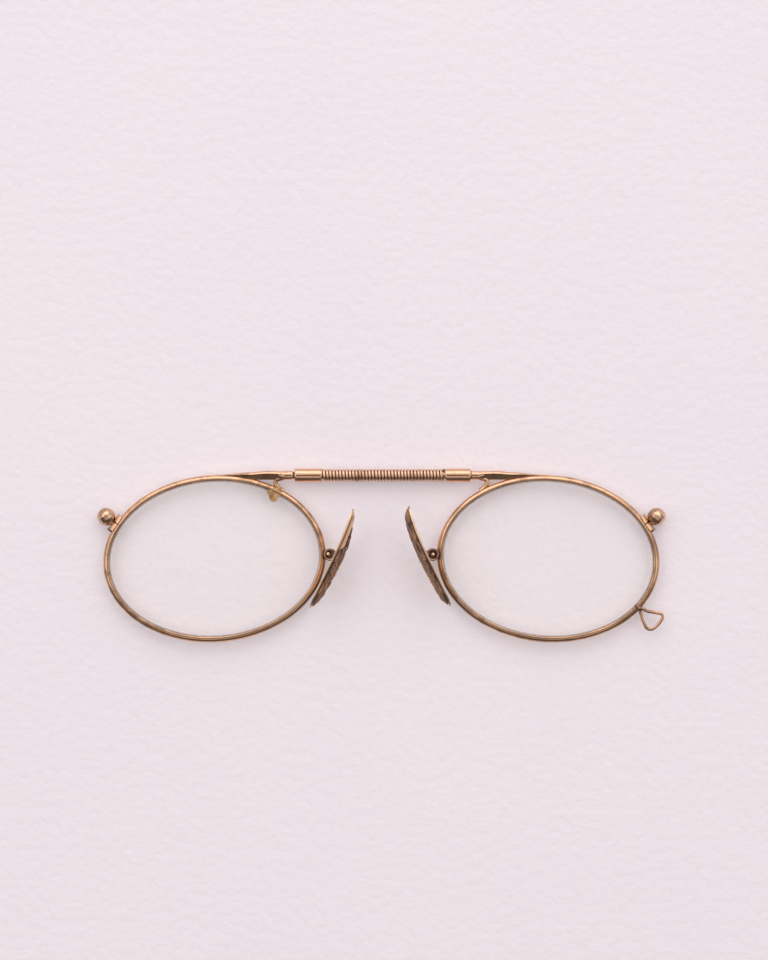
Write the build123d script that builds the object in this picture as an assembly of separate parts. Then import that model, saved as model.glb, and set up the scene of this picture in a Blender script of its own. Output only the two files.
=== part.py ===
"""Bar-spring pince-nez eyeglasses, lying on their front with the nose pads up.

+X runs from the left lens to the right one, +Y towards the brow, +Z towards the wearer's face.
The origin is at the middle of the bounding box on the plane that the eyeglasses rest on.
All sizes are in millimetres. Pieces that occur twice are built for the right lens and mirrored.

The two rimmed lenses hang from a telescoping bar. A half-round rod from each lens runs through
the spring and ends in the ferrule on the far side. When the lenses are pulled apart the two
ferrules come together and squeeze the coil spring, which then draws the lenses back.
"""

from build123d import *
from math import cos, degrees, radians, sin, sqrt
import os

# --- Driving dimensions -------------------------------------------------------------------
LENS_CENTRE = (30.3, -0.56)       # right lens; the left one is its mirror image
RIM_SEMI = (19.7, 14.65)          # semi-axes of the rim wire's middle line
LENS_TILT = 4.5                   # degrees that each oval's nose end is raised
KNOB_RADIUS = 1.62
MID_Z = KNOB_RADIUS               # plane of both lenses: the knobs touch the resting plane

RIM_WIDTH = 1.06                  # rim wire, radially
RIM_DEPTH = 1.5                   # rim wire, along Z
RIM_LAND = 0.22                   # flat beside the groove's mouth
RIM_EDGE_BREAK = 0.08
GROOVE_WIDTH = 0.95
GROOVE_DEPTH = 0.4
RIM_GAP = 0.12                    # the rim's cut at its closing joint

LENS_FIT = 0.06                   # clearance between the glass and the rim
LENS_EDGE = 0.7                   # glass thickness at the bevel's foot
LENS_BEVEL = 0.32                 # how far the bevel stands out into the groove
LENS_FACE_RADIUS = 600.0          # both faces of the glass are slightly domed

BAR_Y = 14.58                     # axis of the telescoping bar
FERRULE_RADIUS = 1.19
FERRULE_BORE = 0.65               # radius
FERRULE_ROUND = 0.1
LEFT_FERRULE_X = (-15.75, -10.75)
RIGHT_FERRULE_X = (11.55, 16.2)
LEFT_ARM_END = -16.1              # leaves a slit beside the left ferrule
RIGHT_ARM_END = 16.23
ROD_RADIUS = 0.62
ROD_SPLIT = 0.02                  # half the slit between the two rods
ROD_TENON = 2.2                   # how far a rod is let into its arm
SOLDER_LENGTH = 2.5               # where a rod fills the bore of its ferrule

SPRING_WIRE = 0.36                # diameter
SPRING_RADIUS = 0.9               # to the middle of the wire
SPRING_HALF_TURNS = 74
SPRING_SEAT = 0.02                # clearance at each end

ARM_RADIUS = 0.8
ARM_STRAIGHT_TO = 22.4            # where the arm starts to thin out
ARM_SLOPE = (3.4, 0.48)           # run and fall of its first, steeper stretch
ARM_TIP_ANGLE = 95.0              # where its point dies out on the rim, degrees round the oval
BRACE_RADIUS = 0.4

JOINT_ANGLE = 31.0                # place of the closing joint round the oval, degrees
BLOCK_LENGTH = 1.5
BLOCK_WIDTH = 1.0
BLOCK_DEPTH = 1.7
BLOCK_BEVEL = 0.22
BLOCK_SEAT = 0.22                 # how far a block is let into the rim
KNOB_REACH = 2.13                 # from the blocks' middle to the knob's centre
KNOB_OFFSET = -0.22               # knob's centre along the rim from the cut
KNOB_NECK_RADIUS = 0.42
SCREW_RADIUS = 0.3
SCREW_HEAD = (0.46, 0.35)         # radius and height
SCREW_SLOT = (0.24, 0.14)         # depth and width

HINGE = (9.3, 0.24)               # axis of the right pad's hinge
KNUCKLE_RADIUS = 1.15
PIN_RADIUS = 0.4
RUNNING_CLEARANCE = 0.04
PIN_DOME = 0.52
HINGE_SPLIT_Z = MID_Z + RIM_DEPTH / 2 + RUNNING_CLEARANCE
PAD_KNUCKLE_TOP = HINGE_SPLIT_Z + 1.3
COUNTERBORE_RADIUS = 0.78
COUNTERBORE_DEPTH = 0.7

PAD_THICKNESS = 0.46
PAD_Z = (2.56, 7.2)               # foot and top of each pad
PAD_HALF = (PAD_Z[1] - PAD_Z[0]) / 2
CORK_THICKNESS = 0.35
CORK_GAP = 0.02
CORK_SHARE = 0.84                 # of the pad's height
RIGHT_CORK_SPAN = (0.05, 0.95)    # of the pad's length, from its brow end
LEFT_CORK_SPAN = (0.34, 0.95)     # worn away above this
CORK_SECTIONS = 5

# Top edge of each pad from its brow end down. The two guards were bent by hand and differ.
RIGHT_PAD_EDGE = [(5.4, 8.8), (6.5, 4.6), (8.3, 0.4), (10.4, -3.8), (12.9, -8.7)]
LEFT_PAD_EDGE = [(5.5, 8.34), (6.8, 4.1), (8.6, -0.2), (10.75, -4.4), (13.1, -8.96)]

LOOP_WIRE_RADIUS = 0.25
LOOP_CORNERS = [(47.15, -10.26), (48.5, -14.56), (51.75, -10.66), (48.3, -10.11), (46.7, -9.21)]
LOOP_BENDS = [0.75, 0.65, 1.2]

SHIM_OUTLINE = [(18.2, 12.6), (18.0, 11.5), (18.7, 10.3), (19.2, 10.6), (19.8, 9.7), (20.6, 10.7), (21.3, 12.3)]
SHIM_TOP_Z = MID_Z + 0.72


# --- Shared helpers -----------------------------------------------------------------------
def mirrored(shape):
    """The left-hand copy of a right-hand piece."""
    return mirror(shape, about=Plane.YZ)


def lens_plane():
    """Plane of the right lens, with its X along the oval's long axis."""
    tilt = radians(-LENS_TILT)
    return Plane(origin=(*LENS_CENTRE, MID_Z), x_dir=(cos(tilt), sin(tilt), 0), z_dir=(0, 0, 1))


def oval_point(angle, offset):
    """Plane on the right rim's middle line moved outward by offset, its Y pointing outward."""
    a, b = RIM_SEMI
    t = radians(angle)
    outward = Vector(cos(t) / a, sin(t) / b, 0).normalized()
    local = Vector(a * cos(t), b * sin(t), 0) + outward * offset
    plane = lens_plane()
    point = plane.from_local_coords(local)
    normal = plane.from_local_coords(local + outward) - point
    return Plane(origin=point, x_dir=normal.cross(Vector(0, 0, 1)), z_dir=(0, 0, 1))


def bar_plane(x):
    """Plane across the bar's axis at x, facing +X."""
    return Plane(origin=(x, BAR_Y, MID_Z), x_dir=(0, 1, 0), z_dir=(1, 0, 0))


def upright(centre, radius, low, high):
    """Cylinder along Z."""
    return Pos(*centre, (low + high) / 2) * Cylinder(radius, high - low)


def inside_rim():
    """Everything inside the right rim's middle line, over more than the rim's depth."""
    return extrude(lens_plane() * Ellipse(*RIM_SEMI), RIM_DEPTH, both=True)


# --- Rim, lens and closing joint ----------------------------------------------------------
def rim():
    """Grooved half-round eyewire, one turn of the oval cut through at the closing joint."""
    half_gap = degrees(RIM_GAP / sum(RIM_SEMI))
    path = Edge.make_ellipse(
        *RIM_SEMI,
        plane=lens_plane(),
        start_angle=JOINT_ANGLE + half_gap,
        end_angle=JOINT_ANGLE + 360 - half_gap,
    )
    inner, side = -RIM_WIDTH / 2, RIM_DEPTH / 2
    broken, flat, mouth = inner + RIM_EDGE_BREAK, inner + RIM_LAND, GROOVE_WIDTH / 2
    half = [
        Line((inner + GROOVE_DEPTH, 0), (inner, mouth)),
        Line((inner, mouth), (inner, side - RIM_EDGE_BREAK)),
        Line((inner, side - RIM_EDGE_BREAK), (broken, side)),
        Line((broken, side), (flat, side)),
    ]
    crown = ThreePointArc((flat, side), (RIM_WIDTH / 2, 0), (flat, -side))
    outline = Curve() + half + [crown] + [mirror(line, about=Plane.XZ) for line in half]
    start = path % 0
    section = Plane(origin=path @ 0, x_dir=start.cross(Vector(0, 0, 1)), z_dir=-start)
    return sweep(section * make_face(outline), path=path)


def lens():
    """Slightly domed oval glass with a V bevel round its edge that sits in the rim's groove."""
    a, b = [semi - RIM_WIDTH / 2 - LENS_FIT for semi in RIM_SEMI]
    sag = LENS_FACE_RADIUS - sqrt(LENS_FACE_RADIUS**2 - a * a)
    drop = LENS_FACE_RADIUS - LENS_EDGE / 2 - sag
    disc = extrude(Ellipse(a, b), LENS_EDGE, both=True)
    disc &= Pos(0, 0, -drop) * Sphere(LENS_FACE_RADIUS)
    disc &= Pos(0, 0, drop) * Sphere(LENS_FACE_RADIUS)
    crest = Ellipse(a + LENS_BEVEL, b + LENS_BEVEL)
    foot = Pos(0, 0, LENS_EDGE / 2) * Ellipse(a - LENS_FIT, b - LENS_FIT)
    bevel = loft([crest, foot])
    return lens_plane() * (disc + bevel + mirror(bevel, about=Plane.XY))


def joint_place():
    """Middle of the two closing blocks: X runs along the rim away from the brow, Y outward."""
    return oval_point(JOINT_ANGLE, RIM_WIDTH / 2 + BLOCK_WIDTH / 2 - BLOCK_SEAT)


def closing_block(side, bore, rim_solid):
    """Block soldered to one end of the rim; side -1 is the brow end, +1 the other."""
    body = Box(BLOCK_LENGTH, BLOCK_WIDTH, BLOCK_DEPTH)
    body = chamfer(body.edges().filter_by(Axis.X), BLOCK_BEVEL)
    body -= Rot(0, 90, 0) * Cylinder(bore, 2 * BLOCK_LENGTH)
    place = joint_place() * Pos(side * (BLOCK_LENGTH + RIM_GAP) / 2, 0, 0)
    return place * body - rim_solid


def joint_screw():
    """Cheese-headed screw that runs along the rim and draws the two blocks together."""
    length = 2 * BLOCK_LENGTH + RIM_GAP
    radius, height = SCREW_HEAD
    slot_depth, slot_width = SCREW_SLOT
    head = Rot(0, 90, 0) * Cylinder(radius, height)
    head = fillet(head.edges().sort_by(Axis.X)[-1], height / 3)
    head -= Pos(height / 2, 0, 0) * Box(2 * slot_depth, 4 * radius, slot_width)
    shank = Rot(0, 90, 0) * Cylinder(SCREW_RADIUS, length)
    return joint_place() * (shank + Pos((length + height) / 2, 0, 0) * head)


def finger_knob(lower_block):
    """Ball finger piece on a very short neck, soldered to the lower closing block."""
    ball = Pos(-KNOB_OFFSET, KNOB_REACH, 0) * Sphere(KNOB_RADIUS)
    face = BLOCK_WIDTH / 2
    neck_x = RIM_GAP / 2 + KNOB_NECK_RADIUS + RUNNING_CLEARANCE
    neck = Pos(neck_x, (face + KNOB_REACH) / 2, 0) * Rot(90, 0, 0)
    return joint_place() * (ball + neck * Cylinder(KNOB_NECK_RADIUS, KNOB_REACH - face)) - lower_block


# --- Bar ----------------------------------------------------------------------------------
def arm(end_x, rod, rim_solid):
    """Bar arm of the right lens: a round bar beside the ferrule that thins out along the rim."""
    top, low = BAR_Y + ARM_RADIUS, BAR_Y - ARM_RADIUS
    tip = oval_point(ARM_TIP_ANGLE, RIM_WIDTH / 2).origin
    slope = Spline(
        (ARM_STRAIGHT_TO, top),
        (ARM_STRAIGHT_TO + ARM_SLOPE[0], top - ARM_SLOPE[1]),
        (tip.X, tip.Y),
        tangents=((1, 0), (1, -0.05)),
    )
    outline = Curve() + [
        Line((end_x, low), (end_x, top)),
        Line((end_x, top), (ARM_STRAIGHT_TO, top)),
        slope,
        Line((tip.X, tip.Y), (tip.X, tip.Y - RIM_WIDTH / 2)),
        Line((tip.X, tip.Y - RIM_WIDTH / 2), (ARM_STRAIGHT_TO, low)),
        Line((ARM_STRAIGHT_TO, low), (end_x, low)),
    ]
    slab = extrude(Pos(0, 0, MID_Z) * make_face(outline), ARM_RADIUS, both=True)
    round_bar = bar_plane(end_x) * extrude(Circle(ARM_RADIUS), tip.X - end_x)
    return (slab & round_bar) - rim_solid - inside_rim() - rod


def brace(arm_solid, rod, rim_solid):
    """Bowed strut between the arm and the rim."""
    start = (17.9, BAR_Y - 0.34, MID_Z)
    bow = (19.2, BAR_Y - 1.09, MID_Z)
    foot = (18.35, BAR_Y - 2.29, MID_Z)
    path = ThreePointArc(start, bow, foot)
    strut = sweep(Plane(origin=path @ 0, z_dir=path % 0) * Circle(BRACE_RADIUS), path=path)
    strut = strut - arm_solid - rod - rim_solid - inside_rim()
    return strut.solids().sort_by(SortBy.VOLUME)[-1]


def half_round(x0, x1, radius, side):
    """Half-round length of rod from x0 to x1; side +1 is its wearer's half, -1 the front one."""
    rod = bar_plane(x0) * extrude(Circle(radius), x1 - x0)
    keep = Box(x1 - x0, 2 * radius, radius)
    return rod & Pos((x0 + x1) / 2, BAR_Y, MID_Z + side * (ROD_SPLIT + radius / 2)) * keep


def slide_rod(root_x, far_x, side):
    """Rod let into its arm at root_x and soldered into the bore of the far ferrule at far_x."""
    away = 1 if root_x > 0 else -1
    rod = half_round(*sorted((far_x, root_x + away * ROD_TENON)), ROD_RADIUS, side)
    return rod + half_round(*sorted((far_x, far_x + away * SOLDER_LENGTH)), FERRULE_BORE, side)


def ferrule(x0, x1):
    """Tube over the two rods, with softened rims."""
    tube = bar_plane(x0) * extrude(Circle(FERRULE_RADIUS) - Circle(FERRULE_BORE), x1 - x0)
    rims = [edge for edge in tube.edges().filter_by(GeomType.CIRCLE) if edge.radius > FERRULE_BORE]
    return fillet(rims, FERRULE_ROUND)


def coil_spring():
    """Open coil of flat half turns, each tilted so that it meets the next one smoothly."""
    inset = SPRING_WIRE / 2 + SPRING_SEAT
    x0, x1 = LEFT_FERRULE_X[1] + inset, RIGHT_FERRULE_X[0] - inset
    step = (x1 - x0) / SPRING_HALF_TURNS
    crown = sqrt(SPRING_RADIUS**2 + step**2 / 4)
    arcs = []
    for i in range(SPRING_HALF_TURNS):
        side = 1 if i % 2 == 0 else -1
        start = (x0 + i * step, BAR_Y + side * SPRING_RADIUS, MID_Z)
        middle = (x0 + (i + 0.5) * step, BAR_Y, MID_Z + side * crown)
        end = (x0 + (i + 1) * step, BAR_Y - side * SPRING_RADIUS, MID_Z)
        arcs.append(ThreePointArc(start, middle, end))
    path = Wire(arcs)
    section = Plane(origin=path @ 0, z_dir=path % 0)
    return sweep(section * Circle(SPRING_WIRE / 2), path=path)


# --- Nose pads ----------------------------------------------------------------------------
def pad_place(edge, s):
    """Plane across a pad at s of its length: X points to the nose and Y up."""
    path = Spline(*[(x, y, sum(PAD_Z) / 2) for x, y in edge])
    along = path % s
    return Plane(origin=path @ s, x_dir=Vector(along.Y, -along.X, 0), z_dir=along * -1)


def pad_half_height(s):
    """Half the pad's height at s: a long leaf with blunt ends."""
    return PAD_HALF * max(0.16, 1 - abs(2 * s - 1) ** 2.6) ** 0.6


def pad_skin(s, offset):
    """Top, belly and foot of the pad's bowed face at s, moved towards the nose by offset."""
    fullness = pad_half_height(s) / PAD_HALF
    top = 0.7 - 0.35 * fullness
    foot = 0.7 + 0.3 * fullness
    belly = (top + foot) / 2 + 0.62 * fullness
    half = pad_half_height(s)
    return (top + offset, half), (belly + offset, -0.2 * half), (foot + offset, -half)


def pad_sheet(edge, span, inner, thickness):
    """Bowed leaf of a pad between the two ends of span, lofted through its cross-sections."""
    count = 7
    sections = []
    for i in range(count):
        s = span[0] + (span[1] - span[0]) * i / (count - 1)
        back, front = pad_skin(s, inner), pad_skin(s, inner + thickness)
        outline = Curve() + [
            ThreePointArc(*back),
            Line(back[2], front[2]),
            ThreePointArc(*front[::-1]),
            Line(front[0], back[0]),
        ]
        sections.append(pad_place(edge, s) * make_face(outline))
    return loft(sections)


def guard_leaf(edge):
    """The metal leaf of a guard."""
    return pad_sheet(edge, (0, 1), -PAD_THICKNESS, PAD_THICKNESS)


def pad_plate(edge):
    """Bowed metal guard with the ear and knuckle that carry it."""
    knuckle = upright(HINGE, KNUCKLE_RADIUS, HINGE_SPLIT_Z, PAD_KNUCKLE_TOP)
    ear_height = PAD_KNUCKLE_TOP - HINGE_SPLIT_Z - 0.3
    ear_z = (PAD_KNUCKLE_TOP + HINGE_SPLIT_Z) / 2
    ear = Pos(HINGE[0] - 1.1, HINGE[1] + 0.1, ear_z) * Box(1.2, 1.3, ear_height)
    body = guard_leaf(edge) + knuckle + ear
    body -= upright(HINGE, PIN_RADIUS + RUNNING_CLEARANCE, 0, PAD_Z[1])
    return body - upright(HINGE, COUNTERBORE_RADIUS, PAD_KNUCKLE_TOP - COUNTERBORE_DEPTH, PAD_Z[1])


def pad_cork(edge, span):
    """Cork facing on the nose side of a guard, lower than the guard all round."""
    sheet = pad_sheet(edge, span, CORK_GAP, CORK_THICKNESS)
    strips = []
    for i in range(CORK_SECTIONS):
        s = span[0] + (span[1] - span[0]) * i / (CORK_SECTIONS - 1)
        strip = Rectangle(4 * PAD_HALF, 2 * CORK_SHARE * pad_half_height(s))
        strips.append(pad_place(edge, s) * strip)
    return (sheet & loft(strips)) - guard_leaf(edge)


def pad_post(rim_solid):
    """Short post soldered to the rim's nose side, under the pad's knuckle."""
    low, high = MID_Z - RIM_DEPTH / 2, HINGE_SPLIT_Z - RUNNING_CLEARANCE
    post = upright(HINGE, KNUCKLE_RADIUS - RUNNING_CLEARANCE, low, high)
    return post - upright(HINGE, PIN_RADIUS, 0, high) - rim_solid - inside_rim()


def pad_pin():
    """Pin riveted in the rim's post, with a round head that keeps the pad on."""
    seat = PAD_KNUCKLE_TOP - COUNTERBORE_DEPTH + RUNNING_CLEARANCE
    shank = upright(HINGE, PIN_RADIUS, MID_Z - RIM_DEPTH / 2, seat + PIN_DOME / 4)
    dome = Pos(*HINGE, seat + PIN_DOME / 2) * Sphere(PIN_DOME)
    return shank + (dome & upright(HINGE, PIN_DOME, seat, PAD_Z[1]))


# --- Trim ---------------------------------------------------------------------------------
def cord_loop(rim_solid):
    """Bent wire eye for the safety cord; one end is soldered to the rim and the other closes on it."""
    path = FilletPolyline(*[(x, y, MID_Z) for x, y in LOOP_CORNERS], radius=LOOP_BENDS)
    section = Plane(origin=path @ 0, z_dir=path % 0)
    wire = sweep(section * Circle(LOOP_WIRE_RADIUS), path=path)
    return wire - rim_solid - inside_rim()


def lens_shim(lens_solid, rim_solid):
    """Chip of packing that stands out between the rim and the glass; on the left lens only."""
    chip = Pos(0, 0, MID_Z) * extrude(make_face(Polyline(*SHIM_OUTLINE, close=True)), SHIM_TOP_Z - MID_Z)
    inside = chip & inside_rim()
    return (inside - lens_solid - rim_solid).solids().sort_by(SortBy.VOLUME)[-1]


# --- Assembly -----------------------------------------------------------------------------
def paired_pieces():
    """The pieces that both lenses have, as right-hand shapes."""
    eyewire = rim()
    lower_block = closing_block(1, SCREW_RADIUS, eyewire)
    return {
        "rim": eyewire,
        "lens": lens(),
        "upper_joint_block": closing_block(-1, SCREW_RADIUS + RUNNING_CLEARANCE, eyewire),
        "lower_joint_block": lower_block,
        "joint_screw": joint_screw(),
        "finger_knob": finger_knob(lower_block),
        "pad_post": pad_post(eyewire),
        "pad_pin": pad_pin(),
    }


def bar_pieces(eyewire):
    """The telescoping bar with its two arms, rods, ferrules and spring."""
    right_rod = slide_rod(RIGHT_ARM_END, LEFT_FERRULE_X[0], 1)
    left_rod = slide_rod(LEFT_ARM_END, RIGHT_FERRULE_X[1], -1)
    right_arm = arm(RIGHT_ARM_END, right_rod, eyewire)
    left_arm = arm(-LEFT_ARM_END, mirrored(left_rod), eyewire)
    return {
        "right_bar_arm": right_arm,
        "left_bar_arm": mirrored(left_arm),
        "right_arm_brace": brace(right_arm, right_rod, eyewire),
        "left_arm_brace": mirrored(brace(left_arm, mirrored(left_rod), eyewire)),
        "right_slide_rod": right_rod,
        "left_slide_rod": left_rod,
        "left_ferrule": ferrule(*LEFT_FERRULE_X),
        "right_ferrule": ferrule(*RIGHT_FERRULE_X),
        "coil_spring": coil_spring(),
    }


def main():
    os.makedirs("parts", exist_ok=True)
    pieces = {}
    paired = paired_pieces()
    for name, shape in paired.items():
        pieces["right_" + name] = shape
        pieces["left_" + name] = mirrored(shape)
    pieces.update(bar_pieces(paired["rim"]))
    pieces["right_pad_plate"] = pad_plate(RIGHT_PAD_EDGE)
    pieces["left_pad_plate"] = mirrored(pad_plate(LEFT_PAD_EDGE))
    pieces["right_pad_cork"] = pad_cork(RIGHT_PAD_EDGE, RIGHT_CORK_SPAN)
    pieces["left_pad_cork"] = mirrored(pad_cork(LEFT_PAD_EDGE, LEFT_CORK_SPAN))
    pieces["cord_loop"] = cord_loop(paired["rim"])
    pieces["left_lens_shim"] = mirrored(lens_shim(paired["lens"], paired["rim"]))
    for name, shape in pieces.items():
        export_step(Compound(children=list(shape.solids())), f"parts/{name}.step")
        print(name, len(shape.solids()), round(shape.volume, 3))


main()
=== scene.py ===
"""Looks of the bar-spring pince-nez: refined meshes and worn rolled-gold, cork and glass finishes.

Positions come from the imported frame. Lengths in this file are in millimetres, and MM turns them
into Blender's metres. Paired pieces are shaped for the right lens and mirrored for the left one.
"""
import math

import bmesh
import bpy
import numpy as np
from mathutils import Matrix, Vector, noise


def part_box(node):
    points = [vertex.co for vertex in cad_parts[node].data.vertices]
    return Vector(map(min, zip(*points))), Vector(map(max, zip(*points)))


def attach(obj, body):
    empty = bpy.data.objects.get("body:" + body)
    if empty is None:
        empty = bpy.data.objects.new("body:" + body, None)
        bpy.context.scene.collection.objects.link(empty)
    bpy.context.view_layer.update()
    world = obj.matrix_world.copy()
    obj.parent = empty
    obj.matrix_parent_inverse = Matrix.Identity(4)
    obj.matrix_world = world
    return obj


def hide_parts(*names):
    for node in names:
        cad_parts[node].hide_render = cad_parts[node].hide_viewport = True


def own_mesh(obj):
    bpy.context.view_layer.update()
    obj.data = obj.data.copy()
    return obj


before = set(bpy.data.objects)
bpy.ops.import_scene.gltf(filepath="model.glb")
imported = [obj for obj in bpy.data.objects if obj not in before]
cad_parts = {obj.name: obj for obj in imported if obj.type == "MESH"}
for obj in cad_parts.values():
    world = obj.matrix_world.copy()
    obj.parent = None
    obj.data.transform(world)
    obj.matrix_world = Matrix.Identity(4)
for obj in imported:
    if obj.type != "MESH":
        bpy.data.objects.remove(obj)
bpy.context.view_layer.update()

noise.seed_set(1)    # noise_vector starts from the clock unless it is given a seed

MM = 0.001
SIDES = {"right": 1, "left": -1}


# --- Places, read from the frame ----------------------------------------------------------
def corners(node):
    """Lowest and highest corner of a CAD node, in millimetres."""
    low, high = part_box(node)
    return np.array(low) / MM, np.array(high) / MM


def middle(node):
    """Centre of a CAD node's box, in millimetres."""
    low, high = corners(node)
    return (low + high) / 2


RIM_MIDDLE = middle("right_rim")
MID_Z = RIM_MIDDLE[2]
BAR_Y = middle("right_ferrule")[1]
HINGE = middle("right_pad_pin")[:2]

RIM_SEMI = (19.7, 14.65)
LENS_TILT = math.radians(4.5)
RIM_HALF_WIDTH = 0.53
JOINT_ANGLE = math.radians(31.0)
ARM_START_X = {"right": 16.23, "left": 16.1}

# Top edge of each nose pad from its brow end down, as if both were on the right: (x, y).
PAD_TOP_EDGE = {
    "right": [(5.4, 9.05), (6.5, 4.7), (8.3, 0.4), (10.4, -3.8), (12.9, -8.75)],
    "left": [(5.55, 8.6), (6.95, 4.2), (8.8, -0.2), (10.9, -4.4), (13.25, -9.05)],
}

# Corners of the cord eye's wire, from the rim round and back, and where it is soldered on.
LOOP_CORNERS = [(46.85, -9.85), (48.5, -14.56), (51.75, -10.66), (48.3, -10.11), (46.7, -9.21)]
SOLDER_POINT = (46.72, -9.62)


# --- Mesh helpers -------------------------------------------------------------------------
def rings_object(name, rings, side=1, closed=False, capped=True, sharp=40.0):
    """Object skinned over rings of points in millimetres; side -1 mirrors it to the left lens."""
    count = len(rings[0])
    points = [(side * p[0] * MM, p[1] * MM, p[2] * MM) for ring in rings for p in ring]
    spans = len(rings) if closed else len(rings) - 1
    faces = []
    for i in range(spans):
        a, b = i * count, (i + 1) % len(rings) * count
        for j in range(count):
            k = (j + 1) % count
            faces.append((a + j, a + k, b + k, b + j))
    if capped and not closed:
        faces.append(tuple(range(count)))
        faces.append(tuple(range((len(rings) - 1) * count, len(rings) * count)))
    mesh = bpy.data.meshes.new(name)
    mesh.from_pydata(points, [], faces)
    finish_mesh(mesh, sharp)
    piece = bpy.data.objects.new(name, mesh)
    bpy.context.scene.collection.objects.link(piece)
    return piece


def finish_mesh(mesh, sharp):
    """Merges doubled points, turns every face outward and shades it smooth up to the angle."""
    work = bmesh.new()
    work.from_mesh(mesh)
    bmesh.ops.remove_doubles(work, verts=work.verts, dist=1e-7)
    bmesh.ops.recalc_face_normals(work, faces=work.faces)
    work.to_mesh(mesh)
    work.free()
    mesh.polygons.foreach_set("use_smooth", [True] * len(mesh.polygons))
    mesh.set_sharp_from_angle(angle=math.radians(sharp))


def join(pieces, name):
    """One object made of several."""
    with bpy.context.temp_override(active_object=pieces[0], selected_editable_objects=pieces):
        bpy.ops.object.join()
    pieces[0].name = name
    pieces[0].data.name = name
    return pieces[0]


def circle(radius_u, radius_v, count, power=1.0):
    """Points round a circle; a power under 1 squares it off."""
    points = []
    for i in range(count):
        turn = 2 * math.pi * i / count
        u, v = math.cos(turn), math.sin(turn)
        u, v = math.copysign(abs(u) ** power, u), math.copysign(abs(v) ** power, v)
        points.append((u * radius_u, v * radius_v))
    return points


def lathe(profile, origin, axis, count=48):
    """Rings for a turned shape; profile is (along, radius) and axis a unit vector."""
    axis = np.array(axis, float)
    helper = np.array((0, 0, 1.0)) if abs(axis[2]) < 0.9 else np.array((1.0, 0, 0))
    u = np.cross(axis, helper)
    u /= np.linalg.norm(u)
    v = np.cross(axis, u)
    rings = []
    for along, radius in profile:
        centre = np.array(origin, float) + axis * along
        rings.append([centre + u * x + v * y for x, y in circle(radius, radius, count)])
    return rings


def tube(path, radius, count=16):
    """Rings for a round wire along path; radius is a number or a function of its share of the way."""
    path = [np.array(p, float) for p in path]
    rings = []
    for i, p in enumerate(path):
        ahead = path[min(i + 1, len(path) - 1)] - path[max(i - 1, 0)]
        ahead /= np.linalg.norm(ahead)
        u = np.cross(ahead, (0, 0, 1.0))
        u /= np.linalg.norm(u)
        v = np.cross(ahead, u)
        r = radius(i / (len(path) - 1)) if callable(radius) else radius
        rings.append([p + u * x + v * y for x, y in circle(r, r, count)])
    return rings


def rough_up(rings, amount, size, seed=0.0):
    """Moves the points by smooth noise of that size, both in millimetres."""
    moved = []
    for ring in rings:
        row = []
        for p in ring:
            where = Vector((p[0] / size + seed, p[1] / size, p[2] / size))
            row.append(np.array(p) + np.array(noise.noise_vector(where)) * amount)
        moved.append(row)
    return moved


# --- Node helpers -------------------------------------------------------------------------
class Nodes:
    """Short way to write a material's node tree."""

    def __init__(self, name):
        self.material = bpy.data.materials.new(name)
        self.material.use_nodes = True
        self.tree = self.material.node_tree
        self.tree.nodes.clear()
        self.out = self.add("ShaderNodeOutputMaterial")

    def add(self, kind, values=None, **settings):
        node = self.tree.nodes.new(kind)
        for key, value in settings.items():
            setattr(node, key, value)
        for key, value in (values or {}).items():
            self.put(node.inputs[key], value)
        return node

    def put(self, socket, value):
        if isinstance(value, bpy.types.NodeSocket):
            self.tree.links.new(value, socket)
        else:
            socket.default_value = value

    def noise(self, where, scale, detail=3.0, roughness=0.6):
        node = self.add("ShaderNodeTexNoise", {"Vector": where, "Scale": scale, "Detail": detail,
                                               "Roughness": roughness})
        return node.outputs["Fac"]

    def spread(self, value, low, high, to_low=0.0, to_high=1.0):
        node = self.add("ShaderNodeMapRange", {"Value": value, "From Min": low, "From Max": high,
                                               "To Min": to_low, "To Max": to_high})
        return node.outputs["Result"]

    def math(self, kind, a, b):
        node = self.add("ShaderNodeMath", operation=kind)
        self.put(node.inputs[0], a)
        self.put(node.inputs[1], b)
        return node.outputs[0]

    def blend(self, share, a, b):
        node = self.add("ShaderNodeMix", data_type="RGBA")
        self.put(node.inputs[0], share)
        self.put(node.inputs[6], a)
        self.put(node.inputs[7], b)
        return node.outputs[2]

    def bump(self, height, depth_mm, strength=1.0, after=None):
        values = {"Height": height, "Distance": depth_mm * MM, "Strength": strength}
        if after is not None:
            values["Normal"] = after
        return self.add("ShaderNodeBump", values).outputs["Normal"]

    def stretched(self, where, scale):
        node = self.add("ShaderNodeMapping", {"Vector": where, "Scale": scale})
        return node.outputs["Vector"]

    def surface(self, shader):
        self.tree.links.new(shader, self.out.inputs["Surface"])
        return self.material


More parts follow.
